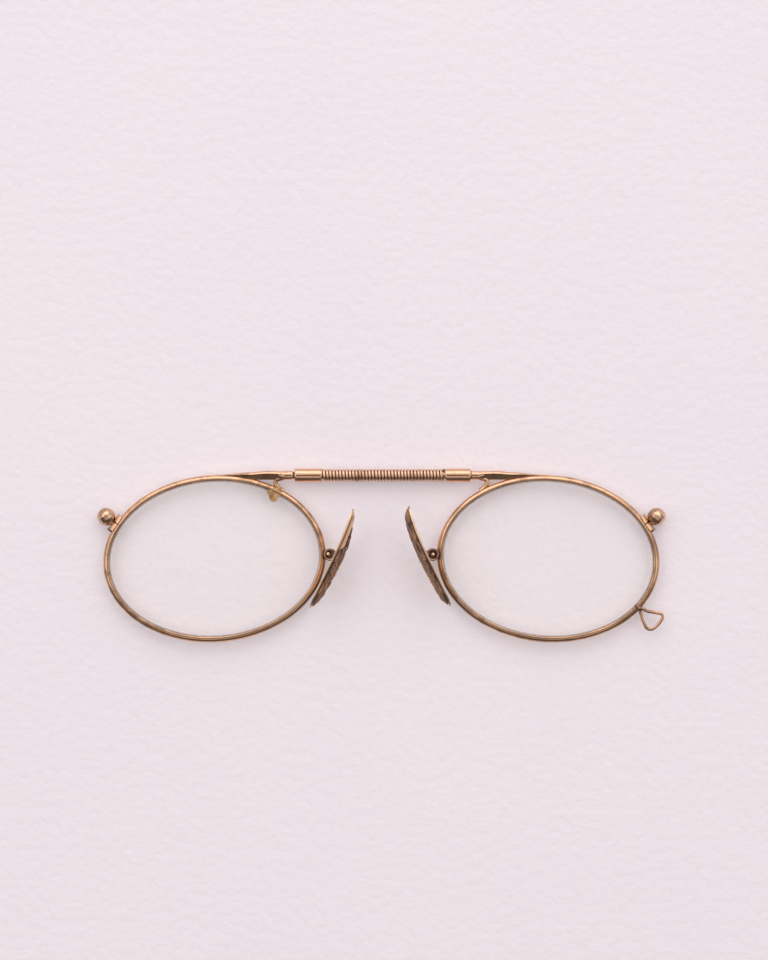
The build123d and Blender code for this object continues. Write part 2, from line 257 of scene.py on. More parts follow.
def gold(name, bright, dark, tarnish=0.5, shine=(0.16, 0.34), along=(1.0, 1.0, 1.0), dent=0.2):
    """Worn rolled gold: patina in patches, corners darkened by occlusion as painted shade that also
    stands for patina there, fine scuffs and small dents.
    """
    n = Nodes(name)
    where = n.add("ShaderNodeTexCoord").outputs["Object"]
    broad = n.spread(n.noise(where, 90.0, 2.0), 0.3, 0.7, -0.15, 0.15)
    patches = n.math("ADD", n.noise(where, 420.0, 4.0), broad)
    fine = n.noise(where, 3800.0, 3.0)
    painted_shade_and_spots = n.add("ShaderNodeAttribute", attribute_name="painted_shade_and_spots").outputs["Fac"]
    # Painted shade: an occlusion test darkens the colour in corners and crevices, where shade falls; it
    # also stands for patina there.
    corner = n.add("ShaderNodeAmbientOcclusion", {"Distance": 0.5 * MM}, samples=8).outputs["AO"]
    corner_shade_and_patina = n.spread(corner, 0.30, 0.85, 0.95, 0.0)
    patchy = n.spread(patches, 0.66 - 0.3 * tarnish, 0.86 - 0.25 * tarnish, 0.0, 0.6)
    speckle = n.spread(fine, 0.54, 0.70, 0.0, 0.25)
    # This darkening mixes patina, speckles and wear with painted shade from corners and from the mesh's
    # per-point shade values.
    worn = n.math("MAXIMUM", n.math("MAXIMUM", corner_shade_and_patina, patchy), n.math("MAXIMUM", speckle, painted_shade_and_spots))
    colour = n.blend(worn, (*bright, 1.0), (*dark, 1.0))
    rough = n.spread(worn, 0.0, 1.0, *shine)
    scuffs = n.noise(n.stretched(where, along), 5200.0, 2.0)
    dents = n.noise(where, 900.0, 2.0)
    normal = n.bump(dents, 0.05, dent)
    normal = n.bump(scuffs, 0.006, 0.5, normal)
    shader = n.add("ShaderNodeBsdfPrincipled", {"Base Color": colour, "Metallic": 1.0, "Roughness": rough,
                                                "Normal": normal})
    return n.surface(shader.outputs[0])


def cork(name, light, dark, crust):
    """Old cork facing: fine cross-hatching, dark pits and a dry crust towards the foot."""
    n = Nodes(name)
    place = n.add("ShaderNodeAttribute", attribute_name="pad_place").outputs["Vector"]
    where = n.add("ShaderNodeTexCoord").outputs["Object"]
    lines = n.noise(n.stretched(place, (9.0, 17.0, 1.0)), 1.0, 3.0)
    cross = n.noise(n.stretched(place, (75.0, 6.0, 1.0)), 1.0, 2.0)
    lines = n.spread(lines, 0.40, 0.58, 0.06, 1.0)
    hatch = n.math("MULTIPLY", lines, n.spread(cross, 0.38, 0.58, 0.50, 1.0))
    pits = n.spread(n.noise(where, 1900.0, 4.0), 0.54, 0.66)
    colour = n.blend(hatch, (*dark, 1.0), (*light, 1.0))
    colour = n.blend(n.math("MULTIPLY", pits, 0.35), colour, (*dark, 1.0))
    foot = n.add("ShaderNodeAttribute", attribute_name="crust").outputs["Fac"]
    crumbs = n.spread(n.noise(where, 1100.0, 5.0), 0.40, 0.54)
    crusty = n.math("MULTIPLY", foot, crumbs)
    colour = n.blend(crusty, colour, (*crust, 1.0))
    height = n.math("ADD", hatch, n.math("MULTIPLY", crusty, 1.5))
    normal = n.bump(height, 0.06, 0.8)
    shader = n.add("ShaderNodeBsdfPrincipled", {"Base Color": colour, "Roughness": 0.55,
                                                "Specular IOR Level": 0.3, "Normal": normal})
    return n.surface(shader.outputs[0])


def packing(name):
    """Dry amber packing, cracked and matt."""
    n = Nodes(name)
    where = n.add("ShaderNodeTexCoord").outputs["Object"]
    grain = n.noise(where, 1500.0, 5.0)
    colour = n.blend(n.spread(grain, 0.38, 0.62), (0.32, 0.15, 0.05, 1.0), (0.70, 0.43, 0.19, 1.0))
    shader = n.add("ShaderNodeBsdfPrincipled", {"Base Color": colour, "Roughness": 0.8,
                                                "Normal": n.bump(grain, 0.08)})
    return n.surface(shader.outputs[0])


def glass(name):
    """Clear old glass seen straight through, with a film of dust and faint smears."""
    n = Nodes(name)
    where = n.add("ShaderNodeTexCoord").outputs["Object"]
    smears = n.spread(n.noise(n.stretched(where, (1.0, 2.5, 1.0)), 120.0, 4.0), 0.45, 0.75)
    motes = n.spread(n.noise(where, 2400.0, 2.0), 0.70, 0.74)
    film = n.math("ADD", n.math("MULTIPLY", smears, 0.014), n.math("MULTIPLY", motes, 0.10))
    clear = n.add("ShaderNodeBsdfTransparent", {"Color": (1.0, 1.0, 0.995, 1.0)})
    gloss = n.add("ShaderNodeBsdfGlossy", {"Color": (1, 1, 1, 1), "Roughness": 0.02})
    dust = n.add("ShaderNodeBsdfDiffuse", {"Color": (0.86, 0.81, 0.80, 1.0)})
    slant = n.add("ShaderNodeLayerWeight", {"Blend": 0.5}).outputs["Facing"]
    mirror = n.spread(n.math("POWER", slant, 5.0), 0.0, 1.0, 0.008, 0.9)
    polished = n.add("ShaderNodeMixShader", {0: mirror, 1: clear.outputs[0], 2: gloss.outputs[0]})
    whole = n.add("ShaderNodeMixShader", {0: film, 1: polished.outputs[0], 2: dust.outputs[0]})
    return n.surface(whole.outputs[0])


def ground_edge(name):
    """The lens's ground bevel: grey and half clear."""
    n = Nodes(name)
    clear = n.add("ShaderNodeBsdfTransparent", {"Color": (0.93, 0.93, 0.91, 1.0)})
    frost = n.add("ShaderNodeBsdfDiffuse", {"Color": (0.62, 0.55, 0.48, 1.0)})
    where = n.add("ShaderNodeTexCoord").outputs["Object"]
    share = n.spread(n.noise(where, 900.0, 3.0), 0.3, 0.7, 0.15, 0.38)
    mixed = n.add("ShaderNodeMixShader", {0: share, 1: clear.outputs[0], 2: frost.outputs[0]})
    return n.surface(mixed.outputs[0])


def paper(name):
    """Heavy off-white paper with a pebbled surface; its faint glow is painted light that lightens the
    shadows on it.
    """
    n = Nodes(name)
    where = n.add("ShaderNodeTexCoord").outputs["Object"]
    pebbles = n.noise(where, 620.0, 3.0, 0.5)
    fibres = n.noise(where, 3400.0, 2.0)
    tone = n.spread(n.noise(where, 14.0, 2.0), 0.3, 0.7)
    colour = n.blend(tone, (0.775, 0.715, 0.740, 1.0), (0.795, 0.735, 0.757, 1.0))
    normal = n.bump(pebbles, 0.20, 0.9)
    normal = n.bump(fibres, 0.02, 0.5, normal)
    # Painted light: the paper glows a little, lifting the shadows cast on it.
    shader = n.add("ShaderNodeBsdfPrincipled", {"Base Color": colour, "Roughness": 0.85,
                                                "Specular IOR Level": 0.25, "Normal": normal,
                                                "Emission Color": colour, "Emission Strength": 0.28})
    return n.surface(shader.outputs[0])


# --- Rim and lens -------------------------------------------------------------------------
def rim_point(turn, outward=0.0, up=0.0):
    """Point beside the right rim's middle line, at an angle round the oval."""
    a, b = RIM_SEMI
    normal = np.array((math.cos(turn) / a, math.sin(turn) / b))
    normal /= np.linalg.norm(normal)
    x, y = np.array((a * math.cos(turn), b * math.sin(turn))) + outward * normal
    c, s = math.cos(LENS_TILT), -math.sin(LENS_TILT)
    return np.array((RIM_MIDDLE[0] + x * c - y * s, RIM_MIDDLE[1] + x * s + y * c, MID_Z + up))


def rim_profile():
    """Half-round eyewire with a V groove inside: (outward, up) points."""
    half = [(-0.53, 0.42), (-0.53, 0.52)]
    for i in range(1, 8):
        turn = math.radians(180 - 90 * i / 8)
        half.append((-0.27 + 0.26 * math.cos(turn), 0.52 + 0.23 * math.sin(turn)))
    crown = []
    for i in range(25):
        turn = math.radians(90 - 180 * i / 24)
        crown.append((-0.27 + 0.80 * math.cos(turn), 0.75 * math.sin(turn)))
    return [(-0.15, 0.0)] + half + crown + [(u, -v) for u, v in reversed(half)]


def rim_shade_and_dark_spots(turn, outward, side):
    """Darkening on the rim: painted shade on the outer side behind the nose guard and a painted shade
    streak along the inner side, plus darker spots near the joint and on the inner side along the foot by
    the glass.
    """
    degrees = math.degrees(turn)
    outside = min(1.0, max(0.0, outward / 0.2))
    # The first spot is painted shade behind the nose guard; the others darken the rim next to the closing
    # joint, next to the cord eye's solder and on the inner side near the bottom.
    spots = [(205.0, 36.0, 0.97 * outside), (17.0, 12.0, 0.6 if side > 0 else 0.35),
             (318.0, 9.0, 0.5 if side > 0 else 0.0),
             (262.0 if side > 0 else 250.0, 26.0, 0.45 * (1 - outside))]
    shares = []
    for middle_turn, reach, amount in spots:
        shares.append(amount * max(0.0, 1 - abs(degrees - middle_turn) / reach) ** 0.5)
    # Painted shade: a dark streak along the inner side of the rim, uneven along its length.
    inner_shade_streak = 0.5 + 0.9 * noise.noise(Vector((degrees / 11.0, outward * 3.0, side * 4.0)))
    shares.append(max(0.0, inner_shade_streak) * 0.66 * max(0.0, 1 - abs(outward + 0.34) / 0.24))
    return max(shares)


def rim(name, side, seed):
    """One turn of eyewire, a little uneven from wear."""
    gap = 0.12 / sum(RIM_SEMI)
    rings, painted_shade_and_spots = [], []
    count = 420
    for i in range(count + 1):
        turn = JOINT_ANGLE + gap + (2 * math.pi - 2 * gap) * i / count
        sway = 0.02 * noise.noise(Vector((2 * math.cos(turn) + seed, 2 * math.sin(turn), 0)))
        wear = 1 + 0.03 * noise.noise(Vector((4 * math.cos(turn), 4 * math.sin(turn), seed)))
        rings.append([rim_point(turn, u * wear + sway, v) for u, v in rim_profile()])
        # Painted shade and dark spots for each point, kept on the mesh for the gold finish.
        painted_shade_and_spots += [rim_shade_and_dark_spots(turn % (2 * math.pi), u, side) for u, v in rim_profile()]
    piece = rings_object(name, rings, side, sharp=30.0)
    layer = piece.data.attributes.new("painted_shade_and_spots", "FLOAT", "POINT")
    layer.data.foreach_set("value", painted_shade_and_spots)
    return piece


def lens(name, side):
    """Domed oval glass with a V bevel; the bevel's faces take the second material."""
    a, b = RIM_SEMI[0] - RIM_HALF_WIDTH - 0.22, RIM_SEMI[1] - RIM_HALF_WIDTH - 0.22
    edge, sag, bevel = 0.35, 0.30, 0.48
    shares = [0.02] + [i / 14 for i in range(1, 15)]
    upper = [(share * a, share * b, edge + sag * (1 - share * share)) for share in shares]
    crest = (a + bevel, b + bevel, 0.0)
    lower = [(x, y, -z) for x, y, z in reversed(upper)]
    c, s = math.cos(LENS_TILT), -math.sin(LENS_TILT)
    rings = []
    for x_semi, y_semi, z in upper + [crest] + lower:
        ring = []
        for x, y in circle(x_semi, y_semi, 180):
            ring.append((RIM_MIDDLE[0] + x * c - y * s, RIM_MIDDLE[1] + x * s + y * c, MID_Z + z))
        rings.append(ring)
    piece = rings_object(name, rings, side, sharp=25.0)
    piece.data.materials.append(GLASS)
    piece.data.materials.append(GROUND)
    flat_enough = 0.9
    for face in piece.data.polygons:
        face.material_index = 0 if abs(face.normal.z) > flat_enough else 1
    return piece


# --- Closing joint ------------------------------------------------------------------------
def joint_frame():
    """Middle of the closing blocks, the direction along the rim away from the brow, and outward."""
    origin = rim_point(JOINT_ANGLE, RIM_HALF_WIDTH)
    outward = rim_point(JOINT_ANGLE, 1.0) - rim_point(JOINT_ANGLE, 0.0)
    return origin, np.cross(outward, (0, 0, 1.0)), outward


def chamfered(half_u, half_v, cut, slope):
    """Section of a block with cut edges, its upper and lower faces falling away outward."""
    edge = [(-half_u, half_v - cut), (-half_u + cut, half_v), (half_u - cut, half_v - slope),
            (half_u, half_v - slope - cut)]
    return edge + [(u, -v) for u, v in reversed(edge)]


def closing_block(name, side, place):
    """Filed block on one end of the rim; place is -1 for the brow end and 1 for the other."""
    origin, along, outward = joint_frame()
    length, trim = 1.5, 0.07
    start = 0.06 if place > 0 else -0.06 - length
    rings = []
    for shift, shrink in ((0, trim), (trim, 0), (length / 2, -0.01), (length - trim, 0), (length, trim)):
        centre = origin + along * (start + shift)
        section = chamfered(0.50 - shrink, 0.85 - shrink, 0.16, 0.26)
        rings.append([centre + outward * u + np.array((0, 0, v)) for u, v in section])
    return rings_object(name, rough_up(rings, 0.02, 0.9, place + side), side, sharp=25.0)


def finger_knob(name, side, seed):
    """Ball finger piece, worn into many small flats, on a very short neck."""
    origin, along, outward = joint_frame()
    radius = 1.65
    centre = origin + along * 0.08 + outward * 2.12
    turns = [math.pi * i / 48 for i in range(49)]
    profile = [(-radius * math.cos(turn), max(0.02, radius * math.sin(turn))) for turn in turns]
    rings = lathe(profile, centre, outward, 80)
    facets = []
    count = 54
    for i in range(count):
        level = 1 - 2 * (i + 0.5) / count
        turn, wide = i * 2.39996 + seed, math.sqrt(1 - level ** 2)
        ray = Vector((math.cos(turn) * wide, math.sin(turn) * wide, level))
        depth = 0.963 + 0.045 * noise.noise(ray * 3.1 + Vector((seed, 0, 0)))
        facets.append((ray, radius * depth))
    dented = []
    for ring in rings:
        row = []
        for p in ring:
            ray = Vector(p - centre).normalized()
            cuts = [depth / ray.dot(facet) for facet, depth in facets if ray.dot(facet) > 0.5]
            reach = min([radius] + cuts)
            point = centre + np.array(ray) * reach
            row.append((point[0], point[1], max(point[2], 0.0)))
        dented.append(row)
    ball = rings_object(name, dented, side, sharp=60.0)
    base = origin + along * 0.4 + outward * 0.3
    neck = lathe([(0.0, 0.50), (0.18, 0.46), (0.4, 0.42), (0.9, 0.42)], base, outward, 32)
    return join([ball, rings_object(name + "_neck", neck, side)], name)


# --- Bar ----------------------------------------------------------------------------------
def rim_top(x):
    """Height in Y of the rim's outer edge at x, over the brow side of the oval."""
    edge = [rim_point(math.radians(t), RIM_HALF_WIDTH) for t in range(175, 40, -1)]
    return float(np.interp(x, [p[0] for p in edge], [p[1] for p in edge]))


def bar_arm(name, side, end_x):
    """Arm from the ferrule, round at first, filed flat beside the brace, thinning out on the rim."""
    radius, straight_to, tip_x = 0.8, 21.6, 31.0
    filed_from, filed_to = 17.7, 29.5
    fall = BAR_Y + radius - rim_top(tip_x)
    rings = []
    count = 120
    for i in range(count + 1):
        x = end_x + (tip_x - end_x) * i / count
        u = min(1.0, max(0.0, (x - straight_to) / (tip_x - straight_to)))
        top = BAR_Y + radius - fall * u ** 0.9
        top = max(top, rim_top(x) + 0.02) + 0.03 * math.sin(x * 1.3)
        low = max(BAR_Y - radius, rim_top(x) - 0.30)
        depth = radius * (1 - 0.45 * u)
        inset = 0.06 * max(0.0, 1 - (x - end_x) / 0.12)
        filed = min(1.0, max(0.0, (x - filed_from) / 1.2)) * min(1.0, max(0.0, (filed_to - x) / 5.0))
        half = (top - low) / 2
        ring = []
        for y, z in circle(half - inset, depth - inset, 48, 0.92):
            limit = depth * (0.72 + 0.50 * y / max(half, 0.2))
            z = z - filed * max(0.0, z - max(limit, -0.1))
            ring.append((x, (top + low) / 2 + y, MID_Z + z))
        rings.append(ring)
    return rings_object(name, rough_up(rings, 0.018, 2.4, side * 5.0), side, sharp=32.0)


def arm_brace(name, side):
    """Bowed strut from the arm down to the rim, thickening towards its foot on the rim."""
    start, bow, foot = np.array((17.8, -0.52)), np.array((20.6, -0.80)), np.array((18.0, -2.85))
    path = []
    for i in range(33):
        t = i / 32
        x, y = start * (1 - t) ** 2 + bow * 2 * t * (1 - t) + foot * t * t
        path.append((x, BAR_Y + y, MID_Z))
    wire = tube(path, lambda share: 0.39 + 0.12 * share ** 3, 24)
    return rings_object(name, rough_up(wire, 0.015, 1.0, side), side, sharp=60.0)


def ferrule(name, node, seed):
    """Tube with rounded mouths, a little uneven, shaped in the place of its CAD node."""
    low, high = corners(node)
    length, outer, bore = high[0] - low[0], 1.24, 0.65
    profile = [(0.0, bore), (0.0, 1.08), (0.03, 1.16), (0.10, 1.21), (0.2, outer)]
    steps = 16
    profile += [(0.2 + (length - 0.4) * i / steps, outer) for i in range(1, steps + 1)]
    profile += [(length - 0.10, 1.21), (length - 0.03, 1.16), (length, 1.08), (length, bore)]
    rings = lathe(profile, (low[0], BAR_Y, MID_Z), (1, 0, 0), 64)
    return rings_object(name, rough_up(rings, 0.012, 1.8, seed), 1, closed=True, sharp=50.0)


def coil_spring(name):
    """Closely wound round wire, its turns a little uneven, between the two ferrules."""
    turns, per_turn, wire, radius = 37, 40, 0.20, 0.98
    low, high = corners("coil_spring")
    start, span = low[0] + wire, high[0] - low[0] - 2 * wire
    rings = []
    for i in range(turns * per_turn + 1):
        share = i / (turns * per_turn)
        turn = 2 * math.pi * turns * share
        ease = 0.05 * noise.noise(Vector((share * 40, 2.0, 0)))
        spread = 1 + 0.012 * noise.noise(Vector((share * 30, 7.0, 0)))
        out = np.array((0, math.cos(turn), math.sin(turn)))
        centre = np.array((start + span * share + ease, BAR_Y, MID_Z)) + out * radius * spread
        across = np.array((1.0, 0, 0))
        rings.append([centre + out * u + across * v for u, v in circle(wire, wire * 1.22, 14)])
    return rings_object(name, rings, 1, sharp=70.0)


# --- Nose pads ----------------------------------------------------------------------------
PAD_HALF = 2.32
PAD_MIDDLE_Z = 4.88


def pad_line(edge):
    """Smooth curve through the pad's top edge: gives a point and its direction at a share."""
    points = np.array(edge)
    steps = np.linalg.norm(np.diff(points, axis=0), axis=1)
    shares = np.concatenate(([0.0], np.cumsum(steps))) / steps.sum()
    fits = [np.polyfit(shares, points[:, k], len(edge) - 1) for k in (0, 1)]
    slopes = [np.polyder(fit) for fit in fits]

    def at(s):
        point = np.array([np.polyval(fit, s) for fit in fits])
        along = np.array([np.polyval(slope, s) for slope in slopes])
        return point, along / np.linalg.norm(along)

    return at


def pad_fullness(s):
    """Height of the leaf at a share of its length, against its greatest height."""
    return max(0.16, 1 - abs(2 * s - 1) ** 2.6) ** 0.6


def pad_tip(s):
    """Share that draws the leaf to a point at both ends."""
    return min(1.0, max(0.0, s) / 0.06, max(0.0, 1 - s) / 0.08) ** 0.7


def pad_face(s, across, offset):
    """How far the bowed face stands towards the nose; across runs from 1 at the top to -1.

    A parabola joins the depths at the top, at the belly below the middle and at the foot.
    """
    full = pad_fullness(s)
    top, foot = 0.7 - 0.35 * full, 0.7 + 0.3 * full
    belly, belly_at = (top + foot) / 2 + (0.62 * full + 0.14) * pad_tip(s), -0.2
    q = across
    share_top = (q - belly_at) * (q + 1) / ((1 - belly_at) * 2)
    share_belly = (q - 1) * (q + 1) / ((belly_at - 1) * (belly_at + 1))
    share_foot = (q - 1) * (q - belly_at) / (2 * (1 + belly_at))
    return top * share_top + belly * share_belly + foot * share_foot + offset


def pad_leaf(edge, span, share, inner, outer, roughness=0.0, seed=0.0, bare_to=0.0, thinning=0.0):
    """Rings of a bowed leaf with rounded edges, with each point's place along and across it.

    Thinning is the share of its length, at each end, over which it thins out; 0 keeps it full.
    """
    at = pad_line(edge)
    rings, places = [], []
    count, wide = 90, 24
    for i in range(count + 1):
        t = i / count
        s = span[0] + (span[1] - span[0]) * t
        end = min(1.0, math.sqrt(max(0.0, 1 - (2 * abs(t - 0.5)) ** 24)) + 0.12)
        point, along = at(min(1.0, max(0.0, s)))
        to_nose = np.array((along[1], -along[0]))
        half = PAD_HALF * pad_fullness(s) * share * end
        reach = 1.0 if s > bare_to else 0.15 + 0.85 * max(0.0, 1 - (bare_to - s) / 0.05)
        steps = [math.cos(math.pi * k / wide) for k in range(wide + 1)]
        full = min(1.0, 0.20 + min(s - span[0], span[1] - s) / thinning) if thinning else 1.0
        room = (outer - inner) * full
        ring, row = [], []
        for q, front in [(q, 0) for q in steps] + [(-q, 1) for q in steps]:
            thin = (math.sqrt(max(0.0, 1 - abs(q) ** 14)) * 0.90 + 0.10) * (0.35 + 0.65 * pad_tip(s))
            q = -1 + (q + 1) * (reach + 1) / 2
            thick = room * thin * (0.4 + 0.6 * end)
            depth = pad_face(s, q * share, inner + (room - thick) / 2)
            if front:
                rub = noise.fractal(Vector((s * 17 + seed, q * 2.5, 0)), 1.0, 2.0, 5)
                cut = roughness * full * min(1.0, max(0.0, 0.35 + 1.3 * rub))
                depth += max(thick - cut, 0.3 * thick)
            xy = point + to_nose * depth
            ring.append((xy[0], xy[1], PAD_MIDDLE_Z + half * q))
            row.append((s, 0.5 + 0.5 * q * share, front))
        rings.append(ring)
        places.append(row)
    return rings, places


def write_places(piece, places):
    """Stores where each point lies on the pad, for the hatching and the crust to follow."""
    flat = [p for row in places for p in row]
    place = piece.data.attributes.new("pad_place", "FLOAT_VECTOR", "POINT")
    place.data.foreach_set("vector", [c for p in flat for c in (p[0], p[1], 0.0)])
    crust = piece.data.attributes.new("crust", "FLOAT", "POINT")
    crust.data.foreach_set("value", [crust_share(p[0], p[1]) for p in flat])


def crust_share(s, across):
    """The crust gathers along the foot of the lower half."""
    down = min(1.0, max(0.0, (s - 0.42) / 0.2)) * min(1.0, max(0.0, (0.93 - s) / 0.1))
    low = min(1.0, max(0.0, (0.74 - across) / 0.18))
    return down * low


def edge_shade(s, across, front):
    """Painted shade along the lower edge of the bare face, from the tip down, where the plate's bent edge
    lies in shadow.
    """
    if not front or s > 0.42:
        return 0.0
    ragged = 0.24 + 0.10 * noise.noise(Vector((s * 30.0, 1.0, 0)))
    return 0.9 * min(1.0, max(0.0, (ragged - across) / 0.06))


def nose_guard(name, side):
    """Bowed guard with its ear and open knuckle."""
    edge = PAD_TOP_EDGE["right" if side > 0 else "left"]
    rings, places = pad_leaf(edge, (0.0, 1.0), 1.0, -0.46, 0.0)
    leaf = rings_object(name, rings, side, sharp=50.0)
    write_places(leaf, places)
    # The left guard's bare face gets painted shade along its lower edge.
    if side < 0:
        layer = leaf.data.attributes.new("painted_shade_and_spots", "FLOAT", "POINT")
        layer.data.foreach_set("value", [edge_shade(*p) for row in places for p in row])
    foot = corners("right_pad_post")[1][2] + 0.04
    ring_top = foot + 1.30
    profile = [(0.0, 0.46), (0.0, 1.08), (0.05, 1.14), (0.12, 1.16), (1.16, 1.15), (1.25, 1.11),
               (1.30, 1.02), (1.30, 0.90), (1.24, 0.81), (1.12, 0.78), (0.42, 0.77), (0.40, 0.46)]
    knuckle = lathe(profile, (HINGE[0], HINGE[1], foot), (0, 0, 1), 56)
    knuckle = rings_object(name + "_knuckle", rough_up(knuckle, 0.03, 0.9, side), side, closed=True)
    ear_rings = []
    steps = ((0.72, 0.42, 0.40), (1.0, 0.55, 0.48), (1.35, 0.72, 0.52), (1.62, 0.80, 0.55))
    for x, half_y, half_z in steps:
        section = [(HINGE[0] - x, HINGE[1] + 0.1 + u, (foot + ring_top) / 2 + v)
                   for u, v in circle(half_y, half_z, 28, 0.7)]
        ear_rings.append(section)
    ear = rings_object(name + "_ear", ear_rings, side)
    leaf.data.materials.append(PAD_GOLD)
    for part in (knuckle, ear):
        part.data.materials.append(BROWN_GOLD)
    return join([leaf, knuckle, ear], name)


def pad_facing(name, side):
    """Cork facing, whole on the right guard and worn and crumbling on the left one."""
    if side > 0:
        edge = PAD_TOP_EDGE["right"]
        rings, places = pad_leaf(edge, (0.02, 0.98), 0.95, 0.01, 0.38, roughness=0.10, seed=3.0,
                                 thinning=0.10)
    else:
        edge = PAD_TOP_EDGE["left"]
        rings, places = pad_leaf(edge, (0.16, 0.98), 0.95, 0.01, 0.48, roughness=0.38, seed=11.0,
                                 bare_to=0.40, thinning=0.20)
    piece = rings_object(name, rings, side, sharp=50.0)
    write_places(piece, places)
    return piece


def pad_pin(name, side):
    """Pin from the rim's post with a round head that sits loose inside the knuckle."""
    low, high = corners("right_pad_pin")
    base = (HINGE[0], HINGE[1], low[2])
    head, radius = high[2] - low[2] - 0.48, 0.46
    profile = [(0.0, 0.36), (0.06, 0.40), (head - 0.42, 0.38)]
    turns = np.linspace(0.95, math.pi - 0.05, 16)
    profile += [(head - radius * math.cos(turn), radius * math.sin(turn)) for turn in turns]
    rings = lathe(profile, base, (0, 0, 1), 36)
    lean = np.array((0.34, 0.08, 0)) if side < 0 else np.array((0.05, 0.01, 0))
    bend = head - 1.0
    leaning = []
    for ring in rings:
        leaning.append([p + lean * min(1.0, max(0.0, (p[2] - base[2] - bend) / 0.6)) for p in ring])
    return rings_object(name, leaning, side)


def pad_post(name, side):
    """Short turned post beside the rim under the knuckle."""
    low, high = corners("right_pad_post")
    height = high[2] - low[2]
    profile = [(0.0, 0.95), (0.05, 1.05), (0.14, 1.10), (height - 0.12, 1.10),
               (height - 0.03, 1.05), (height, 0.95)]
    rings = lathe(profile, (HINGE[0], HINGE[1], low[2]), (0, 0, 1), 48)
    return rings_object(name, rough_up(rings, 0.02, 0.8, side), side)


# --- Cord eye and packing -----------------------------------------------------------------
def rounded(corners_list, radii, step=0.12):
    """Path of straight runs with an arc at each inner corner."""
    points = [np.array(c, float) for c in corners_list]
    path = [points[0]]
    for before, corner, after, radius in zip(points, points[1:], points[2:], radii):
        back, ahead = before - corner, after - corner
        back /= np.linalg.norm(back)
        ahead /= np.linalg.norm(ahead)
        half = math.acos(float(np.clip(back @ ahead, -1, 1))) / 2
        reach = radius / math.tan(half)
        centre = corner + (back + ahead) / np.linalg.norm(back + ahead) * radius / math.sin(half)
        start, end = corner + back * reach - centre, corner + ahead * reach - centre
        for i in range(13):
            t = i / 12
            spoke = start * (1 - t) + end * t
            path.append(centre + spoke / np.linalg.norm(spoke) * radius)
    path.append(points[-1])
    filled = [path[0]]
    for p, q in zip(path, path[1:]):
        parts = max(1, int(np.linalg.norm(q - p) / step))
        filled += [p + (q - p) * i / parts for i in range(1, parts + 1)]
    return filled


def cord_eye(name):
    """Triangular eye bent from soft wire, its sides a little bowed, with solder at the rim."""
    path = []
    for i, (x, y) in enumerate(rounded(LOOP_CORNERS, [1.15, 0.70, 1.2])):
        bow = 0.05 * math.sin(i * 0.30)
        path.append((x + bow, y - bow * 0.5, MID_Z + 0.03 * math.sin(i * 0.21)))
    rings = tube(path, lambda share: 0.29 + 0.012 * math.sin(share * 29.0), 20)
    wire = rings_object(name, rings, 1, sharp=60.0)
    lump = []
    for share, size in ((-1.75, 0.1), (-1.65, 0.24), (-1.3, 0.28), (-0.8, 0.38), (-0.3, 0.50),
                        (0.15, 0.50), (0.7, 0.36), (1.1, 0.2), (1.25, 0.05)):
        x, y = SOLDER_POINT[0] + 0.42 * share, SOLDER_POINT[1] - 0.45 * share
        z = MID_Z + 0.42 - 0.2 * share
        section = circle(size, size * 0.95, 20)
        lump.append([(x + 0.73 * u, y + 0.68 * u, z + v) for u, v in section])
    solder = rings_object(name + "_solder", rough_up(lump, 0.05, 0.6), 1, sharp=60.0)
    wire.data.materials.append(GOLD)
    solder.data.materials.append(BROWN_GOLD)
    return join([wire, solder], name)


def lens_packing(name):
    """Crumbly chip of packing standing out between the left rim and its glass."""
    outline = [(18.1, 12.5), (18.0, 11.3), (18.6, 10.6), (19.0, 9.95), (19.6, 9.75), (20.2, 10.0),
               (20.35, 10.8), (20.75, 11.4), (20.6, 12.3)]
    centre = np.mean(outline, axis=0)
    ragged = []
    for p, q in zip(outline, outline[1:] + outline[:1]):
        for i in range(8):
            ragged.append(np.array(p) + (np.array(q) - np.array(p)) * i / 8)
    rings = []
    levels = ((0.93, 0.55), (1.0, 0.60), (0.99, 0.66), (0.92, 0.72), (0.6, 0.72), (0.25, 0.72),
              (0.05, 0.72))
    for shrink, up in levels:
        ring = []
        for x, y in ragged:
            chip = 1 + 0.10 * noise.noise(Vector((x * 2.6, y * 2.6, 0)))
            at = centre + (np.array((x, y)) - centre) * shrink * chip
            crumb = 0.10 * noise.noise(Vector((at[0] * 4, at[1] * 4, up)))
            ring.append((at[0], at[1], MID_Z + up - abs(crumb)))
        rings.append(ring)
    return rings_object(name, rings, -1, sharp=30.0)


# --- Finishes -----------------------------------------------------------------------------
GOLD = gold("rolled_gold", (0.75, 0.455, 0.275), (0.11, 0.055, 0.035), 0.64, (0.18, 0.36), dent=0.12)
BAR_GOLD = gold("bar_gold", (0.83, 0.50, 0.31), (0.13, 0.065, 0.038), 0.42, (0.15, 0.34),
                along=(1.0, 6.0, 6.0), dent=0.12)
KNOB_GOLD = gold("knob_gold", (0.80, 0.51, 0.33), (0.06, 0.034, 0.024), 0.80, (0.10, 0.26), dent=1.0)
WIRE_GOLD = gold("spring_gold", (0.84, 0.54, 0.36), (0.20, 0.10, 0.065), 0.30, (0.22, 0.38), dent=0.10)
PAD_GOLD = gold("pad_gold", (0.80, 0.54, 0.35), (0.15, 0.085, 0.055), 0.45, (0.24, 0.42))
BROWN_GOLD = gold("brown_gold", (0.40, 0.25, 0.18), (0.08, 0.045, 0.035), 0.60, (0.22, 0.40))
DULL_BRASS = gold("dull_brass", (0.40, 0.27, 0.17), (0.07, 0.045, 0.03), 0.8, (0.3, 0.5))
CORK = cork("old_cork", (0.58, 0.32, 0.19), (0.060, 0.028, 0.018), (0.62, 0.26, 0.06))
PACKING = packing("amber_packing")
GLASS = glass("lens_glass")
GROUND = ground_edge("lens_ground_edge")


def show(piece, body, replaced, material=None):
    """Puts a piece in place of its CAD node on its body."""
    if material is not None:
        piece.data.materials.append(material)
    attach(piece, body)
    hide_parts(replaced)
    return piece


